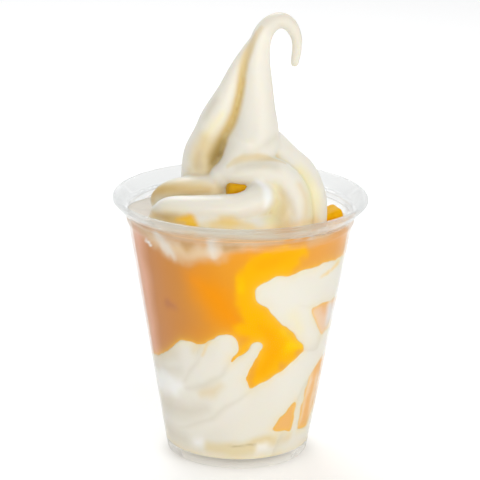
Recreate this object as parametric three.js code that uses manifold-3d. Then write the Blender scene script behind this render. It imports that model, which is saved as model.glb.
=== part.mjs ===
// Fruit sundae: vanilla soft serve swirled through fruit sauce in a clear tapered cup,
// with a curled peak above the rim and two dice of fruit.
// Millimetres, +Z up, origin at the middle of the cup's foot, and the shown side faces -Y.
import * as THREE from "three";
import { mergeVertices } from "three/addons/utils/BufferGeometryUtils.js";
import { RoundedBoxGeometry } from "three/addons/geometries/RoundedBoxGeometry.js";
import Module from "manifold-3d";

const wasm = await Module();
wasm.setup();

// Cup
const CUP_HEIGHT = 99;
const RIM_RADIUS = 47.5;
const RIM_BEAD = 1.1;
const FOOT_RADIUS = 26.6;
const NECK_RADIUS = 41.7;
const NECK_HEIGHT = 89;
const BEAD_PROUD = 0.7;
const BEAD_PITCH = 2.2;
const FLARE_BEND_RADIUS = 44.4;
const FLARE_BEND_HEIGHT = 94;
const WALL = 0.9;
const FLOOR_HEIGHT = 4.4;
const FLOOR_THICK = 1.1;
const FOOT_EDGE = 0.35;
const CUP_SEGMENTS = 44;

// Contents
const GAP = 0.3; // free space that every two pieces keep
const SAUCE_LEVEL = 90.5; // on the cup's axis
const SAUCE_LEAN = [-4.6, 2.3]; // degrees about X and Y, so the shown side and the left stand higher
const CORE_INSET = 7.5; // sauce between the soft serve's core and the wall
const CORE_BASE = 4; // height over which the core's base fills the cup
const CORE_SHOULDER = 80; // the core draws in from here to its neck
const CORE_NECK = 90;
const CORE_NECK_RADIUS = 21;
const CORE_TOP = 102;
const CORE_SEGMENTS = 24;
const ROPE_SIDES = 10;
const ROPE_STEP = 6;
const FOLD_STEP = 5;
const ROPE_DOME = [0.6, 0.95]; // rings of a rope's domed end, in radii past its last point
const LOBE_SINK = 0.5; // distance of a lobe's centreline from the wall, in radii
const COIL_TALL = 0.86; // height of a coil's section over its width
const DICE_ROUND = 1.4;

const CLEAR = { color: 0xe9eef0, roughness: 0.08, metalness: 0, transparent: true, opacity: 0.3 };
const CREAM = { color: 0xf1ebdb, roughness: 0.45, metalness: 0 };
const SAUCE = { color: 0xf0a021, roughness: 0.25, metalness: 0 };
const FRUIT = { color: 0xf2ab12, roughness: 0.3, metalness: 0 };

// A geometry as a solid: shared vertices merged, and the faces that collapse at a pole dropped.
const FINE = 1e-4;
const COARSE = 1e-3; // merges the slivers that a cut leaves
function solidOf(geometry, tolerance = FINE) {
  const bare = new THREE.BufferGeometry().setAttribute("position", geometry.getAttribute("position"));
  bare.setIndex(geometry.index);
  const merged = mergeVertices(bare, tolerance);
  const { array } = merged.index;
  const faces = [];
  for (let i = 0; i < array.length; i += 3) {
    const [a, b, c] = array.slice(i, i + 3);
    if (a !== b && b !== c && c !== a) faces.push(a, b, c);
  }
  const vertProperties = new Float32Array(merged.getAttribute("position").array);
  const triVerts = new Uint32Array(faces);
  return new wasm.Manifold(new wasm.Mesh({ numProp: 3, vertProperties, triVerts }));
}

function geometryOf(solid) {
  const { vertProperties, triVerts } = solid.getMesh();
  const geometry = new THREE.BufferGeometry();
  geometry.setAttribute("position", new THREE.BufferAttribute(vertProperties, 3));
  geometry.setIndex(new THREE.BufferAttribute(triVerts, 1));
  geometry.computeVertexNormals();
  return geometry;
}

const joined = (solids) => solids.reduce((whole, next) => whole.add(next));
const largest = (solid) => solid.decompose().sort((a, b) => b.volume() - a.volume())[0];
const tidied = (solid) => largest(solidOf(geometryOf(largest(solid)), COARSE));

// Turns a profile of [radius, height] points about +Z.
function turned(profile, segments = CUP_SEGMENTS) {
  const points = profile.map(([radius, height]) => new THREE.Vector2(radius, height));
  return new THREE.LatheGeometry(points, segments).rotateX(Math.PI / 2);
}

// Cup
const wallRadius = (z) => FOOT_RADIUS + ((NECK_RADIUS - FOOT_RADIUS) * z) / NECK_HEIGHT;
const roomRadius = (z) => wallRadius(z) - WALL - GAP;

function cupProfile() {
  const beads = [0, 1].flatMap((k) => {
    const z = NECK_HEIGHT + k * BEAD_PITCH;
    return [
      [NECK_RADIUS, z],
      [NECK_RADIUS + BEAD_PROUD, z + 0.35 * BEAD_PITCH],
      [NECK_RADIUS + BEAD_PROUD, z + 0.65 * BEAD_PITCH],
    ];
  });
  const rim = [-60, -15, 30, 75, 120, 165].map((degrees) => {
    const angle = THREE.MathUtils.degToRad(degrees);
    const middle = [RIM_RADIUS - RIM_BEAD, CUP_HEIGHT - RIM_BEAD];
    return [middle[0] + RIM_BEAD * Math.cos(angle), middle[1] + RIM_BEAD * Math.sin(angle)];
  });
  return [
    [0, FLOOR_HEIGHT - FLOOR_THICK],
    [wallRadius(FLOOR_HEIGHT - FLOOR_THICK) - WALL, FLOOR_HEIGHT - FLOOR_THICK],
    [FOOT_RADIUS - WALL, 0],
    [FOOT_RADIUS - FOOT_EDGE, 0],
    [FOOT_RADIUS, FOOT_EDGE],
    ...beads,
    [NECK_RADIUS, NECK_HEIGHT + 2 * BEAD_PITCH],
    [FLARE_BEND_RADIUS, FLARE_BEND_HEIGHT],
    ...rim,
    [FLARE_BEND_RADIUS - WALL, FLARE_BEND_HEIGHT + WALL / 2],
    [NECK_RADIUS - WALL, NECK_HEIGHT + BEAD_PITCH],
    [wallRadius(FLOOR_HEIGHT) - WALL, FLOOR_HEIGHT],
    [0, FLOOR_HEIGHT],
  ];
}

// The room that the contents may fill: the cup's inside, clear of it, and open upwards.
function contentsRoom(top) {
  const bottom = FLOOR_HEIGHT + GAP;
  const neck = NECK_HEIGHT + BEAD_PITCH;
  const profile = [
    [0, bottom],
    [roomRadius(bottom), bottom],
    [NECK_RADIUS - WALL - GAP, neck],
    [FLARE_BEND_RADIUS - WALL - GAP, FLARE_BEND_HEIGHT + WALL / 2],
    [FLARE_BEND_RADIUS - WALL - GAP, top],
    [0, top],
  ];
  return solidOf(turned(profile));
}

// A rope of soft serve: rings of an oval section along a smooth centreline, with domed ends.
// Each point of the path is [x, y, z, radius], and tall is the section's height over its width.
function rope(path, { tall = 1, upAt = upwards, step = ROPE_STEP, grow = 0 }) {
  const centre = new THREE.CatmullRomCurve3(path.map(([x, y, z]) => new THREE.Vector3(x, y, z)));
  const girth = new THREE.CatmullRomCurve3(path.map(([, , , r]) => new THREE.Vector3(r + grow, 0, 0)));
  const steps = Math.max(3, Math.round(centre.getLength() / step));
  const rings = [];
  const addRing = (at, along, radius) => {
    const side = new THREE.Vector3().crossVectors(along, upAt(at)).normalize();
    const up = new THREE.Vector3().crossVectors(side, along);
    rings.push({ at, side, up, radius });
  };
  for (let i = 0; i <= steps; i++) {
    const t = centre.getUtoTmapping(i / steps);
    const [at, along] = [centre.getPoint(t), centre.getTangent(t)];
    const radius = girth.getPoint(t).x;
    const ends = { 0: ROPE_DOME.map((shift) => -shift).reverse(), [steps]: ROPE_DOME };
    const shifts = [0, ...(ends[i] ?? [])].sort((a, b) => a - b);
    for (const shift of shifts) {
      const moved = at.clone().addScaledVector(along, shift * radius);
      addRing(moved, along, radius * Math.sqrt(1 - shift * shift));
    }
  }
  const positions = rings.flatMap(({ at, side, up, radius }) =>
    Array.from({ length: ROPE_SIDES }, (_, j) => {
      const angle = (2 * Math.PI * j) / ROPE_SIDES;
      const point = at.clone().addScaledVector(side, radius * Math.cos(angle));
      return point.addScaledVector(up, radius * tall * Math.sin(angle)).toArray();
    }).flat(),
  );
  const faces = [];
  const ringAt = (i, j) => i * ROPE_SIDES + (j % ROPE_SIDES);
  const last = rings.length - 1;
  for (let j = 0; j < ROPE_SIDES; j++) {
    for (let i = 0; i < last; i++) {
      faces.push(ringAt(i, j), ringAt(i + 1, j), ringAt(i, j + 1));
      faces.push(ringAt(i, j + 1), ringAt(i + 1, j), ringAt(i + 1, j + 1));
    }
    if (j > 1) {
      faces.push(ringAt(0, 0), ringAt(0, j - 1), ringAt(0, j));
      faces.push(ringAt(last, 0), ringAt(last, j), ringAt(last, j - 1));
    }
  }
  const geometry = new THREE.BufferGeometry();
  geometry.setAttribute("position", new THREE.Float32BufferAttribute(positions, 3));
  geometry.setIndex(faces);
  return solidOf(geometry);
}

// Lobes that the soft serve presses against the wall, each point [degrees, height, radius].
// Degrees run from the shown side towards +X.
const WALL_LOBES = {
  base_ring: [
    [88, 11, 10], [150, 13, 12], [210, 13, 12], [270, 14, 12], [330, 13, 12], [372, 11, 9], [392, 10, 6],
  ],
  left_lobe: [[-115, 24, 9], [-80, 30, 9.5], [-55, 36, 8.6], [-33, 46, 6.8]],
  middle_lobe: [[-70, 17, 9], [-42, 30, 9], [-22, 43, 8.4], [-8, 51.5, 5.6]],
  slim_lobe: [[-22, 20, 8], [-6, 33, 8], [4.5, 43, 4.5], [11.5, 50.5, 3.2]],
  broad_ribbon: [
    [-25, 9, 9], [1, 18, 11.8], [20, 26, 11], [38, 33.5, 9.3], [50, 39.5, 8.2],
    [65, 44, 7], [85, 46, 7.5], [115, 45, 8], [145, 40, 7],
  ],
  slanted_ribbon: [[20, 73, 8], [32, 64.7, 7.4], [43, 57, 6], [51, 51, 5.2], [60, 45, 6]],
  upper_ribbon: [[22, 74, 9], [38, 73.5, 10], [58, 72.5, 10], [84, 71, 10], [116, 72, 10], [150, 77, 9]],
  thin_rib: [[49.5, 9, 2.6], [49.5, 20, 2.4], [52, 33, 3]],
  back_lobe_low: [[150, 22, 9], [185, 32, 9], [215, 43, 7]],
  back_lobe_high: [[200, 22, 9], [232, 34, 9], [262, 47, 7]],
};

// Level coils of the swirl and its upright folds, each point [x, y, z, radius].
const COILS = {
  front_pass: [
    [-30.2, -13.5, 95.8, 2.8], [-26, -18, 98.4, 4.7], [-17.5, -22, 99.8, 5.2], [-7, -24, 100.4, 5.6],
    [0, -23.2, 100.6, 5.8], [6.2, -19.8, 102.2, 6.5], [7.4, -12.5, 103.8, 6.2], [4, -6, 104, 5.5],
  ],
  right_pass: [[10, -6, 98, 8], [20, 6, 97.5, 8], [13, 20, 97, 8.5], [-2, 25, 96.5, 8.5], [-13, 22, 96, 8]],
  left_pass: [
    [-13, 22, 96, 8], [-23, 13, 93.5, 7], [-28.3, 0, 96, 5.4], [-24, -6.5, 101.2, 5.9],
    [-12, -8, 103.3, 6.2], [0, 0, 102.5, 6.5],
  ],
  lower_front: [
    [-29.5, -12.5, 92, 4.4], [-23, -19.5, 94, 5.4], [-14, -23, 94.6, 6], [-6, -24.3, 93.6, 6.4],
    [-2, -24, 92.6, 6.5], [8, -23, 92.4, 6.5], [16, -17, 92, 6],
  ],
  middle_fill: [
    [-16, 12, 96, 8], [-19, 4, 96.5, 7], [-17, -6, 96.5, 7], [-11, -13, 96.8, 6.5], [-2, -15, 98, 6.5],
  ],
  inner_bend: [[9, -9, 104, 5.5], [14, -13, 103, 5.8], [15, -16.5, 98, 6], [12.5, -19.5, 92.5, 6.5]],
  back_shoulder: [[18, -2, 105, 8], [14, 10, 106, 9], [0, 14, 106, 9.5], [-12, 9, 104.5, 9.5]],
};
const FOLDS = {
  arch: [
    [-7, -9, 108, 4], [-1, -11.5, 110.2, 5], [6, -12, 111.2, 5.6], [13, -12.5, 109.8, 5.8],
    [19, -14.5, 104.5, 5.6], [21.2, -17, 97, 5.2], [21, -18.5, 88, 5.2],
  ],
  right_drape: [
    [26.2, -12, 86, 5.2], [26.8, -10.5, 95, 5.2], [25.6, -8.5, 102, 5.7], [21.4, -4.5, 108, 6.6],
    [16, -2.5, 112, 7], [10, 0, 116.5, 7.5],
  ],
  left_fold: [
    [-13.6, 2, 103.7, 8.9], [-14.2, 0, 112.5, 7.6], [-11.2, -1, 121.5, 6.5], [-8.6, -1.5, 128.7, 6.2],
    [-4.8, -1, 138, 4.5], [-1.4, 0, 147, 3.1], [3.4, 0, 155.5, 2],
  ],
  right_fold: [
    [-6.6, -9, 108, 5], [-1.6, -8.5, 111.4, 7.4], [3, -5.5, 117, 10.2], [4.6, -3, 123.8, 9.2],
    [5, -1.5, 131.6, 7.4], [5.2, 0, 140.3, 6], [5.3, 0, 147.9, 4.9], [6, 0, 154.5, 4],
  ],
  back_fold: [
    [-2, 9, 105.9, 11], [0, 7, 116.6, 9.4], [2, 5, 129, 6.9], [3.8, 2.5, 142, 4.4], [4.8, 1, 151.5, 2.9],
  ],
  hook: [
    [6, 0, 154.5, 4], [7.4, 0, 159.5, 3.7], [10, 0, 163, 3.3], [13.5, 0, 164.6, 3], [17, 0, 163, 2.6],
    [19.3, 0, 159, 2.1], [19.7, 0, 154.5, 1.7], [19, 0, 149, 1.3],
  ],
};

// The direction that a lobe's section points in, and that of a fold.
const upwards = () => new THREE.Vector3(0, 0, 1);
const outwards = (at) => new THREE.Vector3(at.x, at.y, 0).normalize();
const forwards = () => new THREE.Vector3(0, -1, 0);

function wallPoint([degrees, z, radius]) {
  const angle = THREE.MathUtils.degToRad(degrees);
  const reach = roomRadius(z) - LOBE_SINK * radius;
  return [reach * Math.sin(angle), -reach * Math.cos(angle), z, radius];
}

function softServeCore(grow) {
  const bottom = FLOOR_HEIGHT + GAP;
  const coreRadius = (z) => roomRadius(z) - CORE_INSET + grow;
  const profile = [
    [0, bottom],
    [roomRadius(bottom) + grow, bottom],
    [roomRadius(bottom + CORE_BASE) + grow, bottom + CORE_BASE + grow],
    [coreRadius(bottom + 2 * CORE_BASE), bottom + 2 * CORE_BASE + grow],
    [coreRadius(CORE_SHOULDER), CORE_SHOULDER],
    [CORE_NECK_RADIUS + grow, CORE_NECK],
    [0, CORE_TOP + grow],
  ];
  return solidOf(turned(profile, CORE_SEGMENTS));
}

// Soft serve before the cup bounds it, thicker all over by grow when it cuts its neighbours.
function softServe(grow = 0) {
  const lobes = Object.values(WALL_LOBES).map((path) => rope(path.map(wallPoint), { upAt: outwards, grow }));
  const coils = Object.values(COILS).map((path) => rope(path, { tall: COIL_TALL, grow }));
  const folds = Object.values(FOLDS).map((path) => rope(path, { upAt: forwards, step: FOLD_STEP, grow }));
  return joined([softServeCore(grow), ...lobes, ...coils, ...folds]);
}

// Dice of fruit, each at [x, y, z] with its size and its turns about X, Y and Z in degrees.
const DICE = {
  fruit_dice_right: { at: [33.6, 1.5, 89], size: [8.5, 8.5, 8.5], turn: [8, -12, 24] },
  fruit_dice_gap: { at: [-0.6, -12.6, 102.6], size: [9.5, 9, 9], turn: [4, 3, 8] },
};

function dice({ at, size, turn }, grow = 0) {
  const sides = size.map((side) => side + 2 * grow);
  const angles = turn.map(THREE.MathUtils.degToRad);
  const place = new THREE.Matrix4().makeRotationFromEuler(new THREE.Euler(...angles)).setPosition(...at);
  return solidOf(new RoundedBoxGeometry(...sides, 1, DICE_ROUND).applyMatrix4(place));
}

// Sauce: what the soft serve and the dice leave of the cup, up to a level that leans.
function fruitSauce(cutters) {
  const deep = 2 * CUP_HEIGHT;
  const below = new THREE.BoxGeometry(deep, deep, deep).translate(0, 0, -deep / 2);
  const [aboutX, aboutY] = SAUCE_LEAN.map(THREE.MathUtils.degToRad);
  below.rotateX(aboutX).rotateY(aboutY).translate(0, 0, SAUCE_LEVEL);
  const filled = contentsRoom(CUP_HEIGHT).intersect(solidOf(below));
  return tidied(cutters.reduce((left, cutter) => left.subtract(cutter), filled));
}

const cutDice = Object.values(DICE).map((one) => dice(one, GAP));
const bounded = softServe().intersect(contentsRoom(2 * CUP_HEIGHT));
const cream = tidied(cutDice.reduce((left, cutter) => left.subtract(cutter), bounded));
const sauce = fruitSauce([softServe(GAP), ...cutDice]);

const sundae = new THREE.Group();
function place(name, geometry, look) {
  const mesh = new THREE.Mesh(geometry, new THREE.MeshStandardMaterial(look));
  mesh.name = name;
  sundae.add(mesh);
}

place("cup", geometryOf(solidOf(turned(cupProfile()))), CLEAR);
place("soft_serve", geometryOf(cream), CREAM);
place("fruit_sauce", geometryOf(sauce), SAUCE);
for (const [name, one] of Object.entries(DICE)) place(name, geometryOf(dice(one)), FRUIT);

export default sundae;
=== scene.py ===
import math

import bmesh
import bpy
import numpy as np
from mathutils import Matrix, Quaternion, Vector, noise
from mathutils.bvhtree import BVHTree
from mathutils.kdtree import KDTree


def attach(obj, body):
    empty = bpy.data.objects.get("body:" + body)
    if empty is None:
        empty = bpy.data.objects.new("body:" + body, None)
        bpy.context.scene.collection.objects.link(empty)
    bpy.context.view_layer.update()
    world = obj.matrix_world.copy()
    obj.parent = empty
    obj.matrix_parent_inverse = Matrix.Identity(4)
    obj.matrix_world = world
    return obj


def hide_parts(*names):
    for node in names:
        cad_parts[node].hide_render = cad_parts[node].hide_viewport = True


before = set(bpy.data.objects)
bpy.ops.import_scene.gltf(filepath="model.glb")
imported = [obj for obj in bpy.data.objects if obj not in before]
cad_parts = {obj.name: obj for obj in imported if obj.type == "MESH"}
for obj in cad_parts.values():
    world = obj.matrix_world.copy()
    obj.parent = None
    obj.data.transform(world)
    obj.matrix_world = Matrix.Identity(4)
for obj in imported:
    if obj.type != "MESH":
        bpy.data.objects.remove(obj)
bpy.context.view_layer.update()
scene = bpy.context.scene
mm = 0.001  # lists below are in millimetres, meshes in metres
sharpFrom = math.radians(50)  # edges that turn by more than this stay sharp


# small tools

def toLinear(hexColour):
    # sRGB hex to the linear colour that shaders take
    parts = [int(hexColour[i:i + 2], 16) / 255 for i in (0, 2, 4)]
    return [c / 12.92 if c <= 0.04045 else ((c + 0.055) / 1.055) ** 2.4 for c in parts] + [1.0]


def addNode(tree, kind, settings=None, links=None):
    node = tree.nodes.new(kind)
    for name, value in (settings or {}).items():
        setattr(node, name, value)
    for socket, source in (links or {}).items():
        if isinstance(source, bpy.types.NodeSocket):
            tree.links.new(source, node.inputs[socket])
        else:
            node.inputs[socket].default_value = source
    return node


def addObject(name, mesh):
    thing = bpy.data.objects.new(name, mesh)
    scene.collection.objects.link(thing)
    return thing


def meshFrom(name, points, faces, edges=()):
    mesh = bpy.data.meshes.new(name)
    mesh.from_pydata([tuple(p) for p in points], edges, faces)
    mesh.validate()
    mesh.update()
    return mesh


def ringFaces(rings, count):
    # quads between each ring of points and the next
    faces = []
    for i in range(rings - 1):
        for j in range(count):
            k = (j + 1) % count
            faces.append((i * count + j, i * count + k, (i + 1) * count + k, (i + 1) * count + j))
    return faces


def bakeModifiers(thing):
    # what the modifiers make becomes the object's own plain mesh
    graph = bpy.context.evaluated_depsgraph_get()
    made = bpy.data.meshes.new_from_object(thing.evaluated_get(graph))
    thing.modifiers.clear()
    thing.data = made
    return thing


def vectorsOf(mesh, what):
    flat = np.empty(len(mesh.vertices) * 3, np.float32)
    mesh.vertices.foreach_get(what, flat)
    return flat.reshape(-1, 3).astype(float)


def pointsOf(mesh):
    return vectorsOf(mesh, "co")


def normalsOf(mesh):
    return vectorsOf(mesh, "normal")


def setPoints(mesh, points):
    mesh.vertices.foreach_set("co", points.astype(np.float32).ravel())
    mesh.update()


def setMask(mesh, name, values):
    layer = mesh.attributes.new(name, "FLOAT", "POINT")
    layer.data.foreach_set("value", np.clip(values, 0, 1).astype(np.float32))


def setColours(mesh, name, colours):
    layer = mesh.attributes.new(name, "FLOAT_COLOR", "POINT")
    layer.data.foreach_set("color", colours.astype(np.float32).ravel())


def smoothStep(low, high, x):
    t = np.clip((x - low) / (high - low), 0, 1)
    return t * t * (3 - 2 * t)


def noiseAt(points, size, seed=0):
    # soft noise from -1 to 1 with bumps of that size in metres
    shift = Vector((seed * 7.1, seed * 3.7, seed * 5.3))
    return np.array([noise.noise(Vector(p) / size + shift) for p in points])


def distanceTo(points, targets):
    lookup = KDTree(len(targets))
    for i, target in enumerate(targets):
        lookup.insert(target, i)
    lookup.balance()
    return np.array([lookup.find(p)[2] for p in points])


def finishPiece(thing, node):
    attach(thing, "root")
    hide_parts(node)
    thing.data.polygons.foreach_set("use_smooth", [True] * len(thing.data.polygons))
    thing.data.set_sharp_from_angle(angle=sharpFrom)


# cup sizes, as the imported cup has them

cup = {
    "height": 99, "rimRadius": 47.5, "rimBead": 1.1, "rimArc": (-60, 165), "rimSteps": 14,
    "footRadius": 26.6, "footEdge": 0.35, "footRound": 0.15,
    "neckRadius": 41.7, "neckHeight": 89,
    "beads": 2, "beadProud": 0.7, "beadPitch": 2.2, "beadFull": 0.7, "beadSteps": 8,
    "flareRadius": 44.4, "flareHeight": 94,
    "flareSteps": ((-0.5, -0.3), (0, 0)), "bendSteps": ((0.2, 0.3), (-0.2, -0.2)),
    "wall": 0.9, "wallStart": 4, "wallRows": 18,
    "floorHeight": 4.4, "floorThick": 1.1, "underEdge": 0.6,
    "cornerHeight": 5, "cornerRound": 1, "cornerEase": 0.3,
    "segments": 192,
}


def outerRadius(z):
    return cup["footRadius"] + (cup["neckRadius"] - cup["footRadius"]) * z / cup["neckHeight"]


def innerRadius(z):
    # the inside of the wall up to the bend of the flare, millimetres
    bottom, neck = cup["floorHeight"], cup["neckHeight"] + cup["beadPitch"]
    heights = [0, bottom, neck, cup["flareHeight"] + cup["wall"] / 2, 2 * cup["height"]]
    radii = [
        outerRadius(bottom) - cup["wall"], outerRadius(bottom) - cup["wall"], cup["neckRadius"] - cup["wall"],
        cup["flareRadius"] - cup["wall"], cup["flareRadius"] - cup["wall"],
    ]
    return np.interp(z, heights, radii)


# materials

def newMaterial(name):
    material = bpy.data.materials.new(name)
    material.use_nodes = True
    material.node_tree.nodes.clear()
    return material, material.node_tree


def showSurface(tree, shader):
    addNode(tree, "ShaderNodeOutputMaterial", links={"Surface": shader.outputs[0]})


def objectPlace(tree):
    return addNode(tree, "ShaderNodeTexCoord").outputs["Object"]


def mapped(tree, value, low, high, start=0.0, end=1.0):
    # low where the value is at start, high where it is at end
    return addNode(tree, "ShaderNodeMapRange", links={
        "Value": value, "From Min": start, "From Max": end, "To Min": low, "To Max": high}).outputs[0]


def larger(tree, first, second):
    return addNode(tree, "ShaderNodeMath", {"operation": "MAXIMUM"}, {0: first, 1: second}).outputs[0]


def roughened(tree, place, size, detail, strength, depth):
    # noise with grains of that size in millimetres, and the bump that it makes
    grain = addNode(tree, "ShaderNodeTexNoise", links={
        "Vector": place, "Scale": 1 / (size * mm), "Detail": detail}).outputs["Fac"]
    bump = addNode(tree, "ShaderNodeBump", links={
        "Height": grain, "Strength": strength, "Distance": depth * mm})
    return grain, bump.outputs["Normal"]


def mixColour(tree, mask, under, over):
    # over laid on under by a mask, each a socket or a hex colour
    links = {0: mask}
    links[6] = under if isinstance(under, bpy.types.NodeSocket) else toLinear(under)
    links[7] = over if isinstance(over, bpy.types.NodeSocket) else toLinear(over)
    mix = addNode(tree, "ShaderNodeMix", {"data_type": "RGBA"}, links)
    return mix.outputs[2]


def maskSocket(tree, name):
    return addNode(tree, "ShaderNodeAttribute", {"attribute_name": name}).outputs["Fac"]


def clearCup():
    # thermoformed clear PET: colourless and glossy, faintly wavy from the mould, whiter at brim and foot
    material, tree = newMaterial("clearPetThermoformed")
    place = objectPlace(tree)
    wavy = roughened(tree, place, size=9, detail=1.0, strength=0.12, depth=0.3)[1]
    height = addNode(tree, "ShaderNodeSeparateXYZ", links={0: place}).outputs["Z"]
    brim = mapped(tree, height, 0.0, 1.0, (cup["neckHeight"] - 1) * mm, (cup["neckHeight"] + 3) * mm)
    foot = mapped(tree, height, 0.0, 1.0, cup["floorHeight"] * mm, 0.0)
    plastic = addNode(tree, "ShaderNodeBsdfPrincipled", links={
        "Base Color": mixColour(tree, brim, "FDFEFE", "F2F3F3"), "Roughness": 0.03, "IOR": 1.12,
        "Coat Weight": mapped(tree, brim, 0.05, 0.8),
        "Transmission Weight": mapped(tree, larger(tree, brim, foot), 1.0, 0.8), "Normal": wavy})
    through = addNode(tree, "ShaderNodeBsdfTransparent", links={
        "Color": mixColour(tree, brim, "FDFDFD", "F3F4F4")})
    path = addNode(tree, "ShaderNodeLightPath").outputs
    lampRay = larger(tree, path["Is Shadow Ray"], path["Is Diffuse Ray"])  # light reaches the food undimmed
    both = addNode(tree, "ShaderNodeMixShader", links={
        0: larger(tree, lampRay, 0.5), 1: plastic.outputs[0], 2: through.outputs[0]})
    showSurface(tree, both)
    return material


def vanillaSoftServe():
    # machine-drawn vanilla soft serve: smooth, dense and slightly see-in, painted with warm shade where folds
    # meet
    material, tree = newMaterial("vanillaSoftServe")
    colour = "ECE8DC"
    for mask, over in creamLayers:
        colour = mixColour(tree, maskSocket(tree, mask), colour, over)
    grain, grainy = roughened(tree, objectPlace(tree), size=0.9, detail=3.0, strength=0.12, depth=0.12)
    cream = addNode(tree, "ShaderNodeBsdfPrincipled", links={
        "Base Color": colour, "Roughness": mapped(tree, grain, 0.34, 0.5), "IOR": 1.36, "Normal": grainy,
        "Coat Weight": 0.2, "Coat Roughness": 0.16,
        "Subsurface Weight": 0.45, "Subsurface Radius": (1.0, 0.72, 0.42), "Subsurface Scale": 2.2 * mm})
    showSurface(tree, cream)
    return material


def cookedFruitSauce():
    # cooked fruit sauce: glossy, cloudy where cream has melted in, clear yellow where it runs thick
    material, tree = newMaterial("cookedFruitSauce")
    colour = addNode(tree, "ShaderNodeAttribute", {"attribute_name": "roundColour"}).outputs["Color"]
    for mask, over in sauceLayers:
        colour = mixColour(tree, maskSocket(tree, mask), colour, over)
    pulpy = roughened(tree, objectPlace(tree), size=2.2, detail=3.0, strength=0.15, depth=0.2)[1]
    syrup = addNode(tree, "ShaderNodeBsdfPrincipled", links={
        "Base Color": colour, "Roughness": 0.22, "IOR": 1.4, "Specular IOR Level": 0.06, "Normal": pulpy})
    showSurface(tree, syrup)
    return material


def fruitInSyrup():
    # dice of ripe fruit in syrup: fibrous orange flesh under a wet coat
    material, tree = newMaterial("fruitDiceInSyrup")
    stretch = addNode(tree, "ShaderNodeMapping", links={
        "Vector": objectPlace(tree), "Rotation": (0.4, 0.3, 0.2), "Scale": (1, 1, 0.3)})
    fibre, fibrous = roughened(tree, stretch.outputs[0], size=1.1, detail=4.0, strength=0.3, depth=0.25)
    colour = mixColour(tree, fibre, "E4A202", "FFCA12")
    # painted shade: the die sunk down in the gap is darker
    colour = mixColour(tree, maskSocket(tree, "sunkShade"), colour, "CF9A1C")  # duller down in the gap
    pulp = addNode(tree, "ShaderNodeBsdfPrincipled", links={
        "Base Color": colour, "Roughness": 0.3, "IOR": 1.38, "Specular IOR Level": 0.08, "Normal": fibrous,
        "Subsurface Weight": 0.3, "Subsurface Radius": (1.0, 0.5, 0.1), "Subsurface Scale": 1.5 * mm})
    showSurface(tree, pulp)
    return material


# cup

def turned(name, profile, segments):
    # turns [radius, height] points in millimetres about Z; the first and last lie on the axis
    inner = np.array(profile[1:-1]) * mm
    angles = np.linspace(0, 2 * math.pi, segments, endpoint=False)
    points = [(r * math.sin(a), -r * math.cos(a), z) for r, z in inner for a in angles]
    rings = len(inner)
    faces = ringFaces(rings, segments)
    for pole, ring, turn in ((profile[0], 0, 1), (profile[-1], rings - 1, -1)):
        points.append((0, 0, pole[1] * mm))
        edge = [ring * segments + j for j in range(segments)]
        for a, b in zip(edge, edge[1:] + edge[:1]):
            faces.append((len(points) - 1, b, a)[::turn])
    return meshFrom(name, points, faces)


def cupProfile():
    wall, foot, floor, neck = cup["wall"], cup["footRadius"], cup["floorHeight"], cup["neckHeight"]
    under, edge, tiny = floor - cup["floorThick"], cup["footEdge"], cup["footRound"]
    profile = [(0, under), (outerRadius(under) - 2 * wall, under)]
    profile += [(outerRadius(under) - wall, under - cup["underEdge"])]
    profile += [(foot - wall, tiny), (foot - wall + tiny, 0), (foot - edge, 0), (foot, edge)]
    profile += [(outerRadius(z), z) for z in np.linspace(cup["wallStart"], neck, cup["wallRows"])]
    for k in range(cup["beads"]):  # round beads under the rim
        for i in range(1, cup["beadSteps"] + 1):
            share = i / cup["beadSteps"]
            swell = cup["beadProud"] * math.sin(math.pi * share) ** cup["beadFull"]
            profile.append((cup["neckRadius"] + swell, neck + (k + share) * cup["beadPitch"]))
    profile += [(cup["flareRadius"] + out, cup["flareHeight"] + up) for out, up in cup["flareSteps"]]
    for degrees in np.linspace(*cup["rimArc"], cup["rimSteps"]):
        angle = math.radians(degrees)
        profile.append((
            cup["rimRadius"] - cup["rimBead"] + cup["rimBead"] * math.cos(angle),
            cup["height"] - cup["rimBead"] + cup["rimBead"] * math.sin(angle)))
    bend = cup["flareHeight"] + wall / 2
    profile += [(innerRadius(bend) + out, bend + up) for out, up in cup["bendSteps"]]
    inside = np.linspace(neck + cup["beadPitch"], floor + cup["cornerRound"], cup["wallRows"])
    profile += [(innerRadius(z), z) for z in inside]
    corner, ease = innerRadius(cup["cornerHeight"]), cup["cornerEase"]
    return profile + [(corner - ease, floor + ease), (corner - cup["cornerRound"], floor), (0, floor)]


cupPiece = addObject("clear_cup", turned("clear_cup", cupProfile(), cup["segments"]))
cupPiece.data.materials.append(clearCup())
print("cup made,", len(cupPiece.data.polygons), "faces")


# soft serve: ropes drawn along paths by Geometry Nodes, then melted into one skin

softServe = {
    "step": 1.0, "sides": 30, "coilTall": 0.86,
    "voxel": 0.75, "smoothing": 4, "smoothShare": 0.5,
    "lobeSink": 0.5, "lobeClear": 1.2,  # as in the solids: how far in a lobe's line lies
    "intoWall": 0.4,
    "uneven": 0.35, "unevenSize": 14, "markWarp": 0.6,
    "ragged": 0.65, "raggedSize": 3.5, "raggedFrom": (-5, -1),  # along the edge that sauce has on the wall
}

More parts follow.
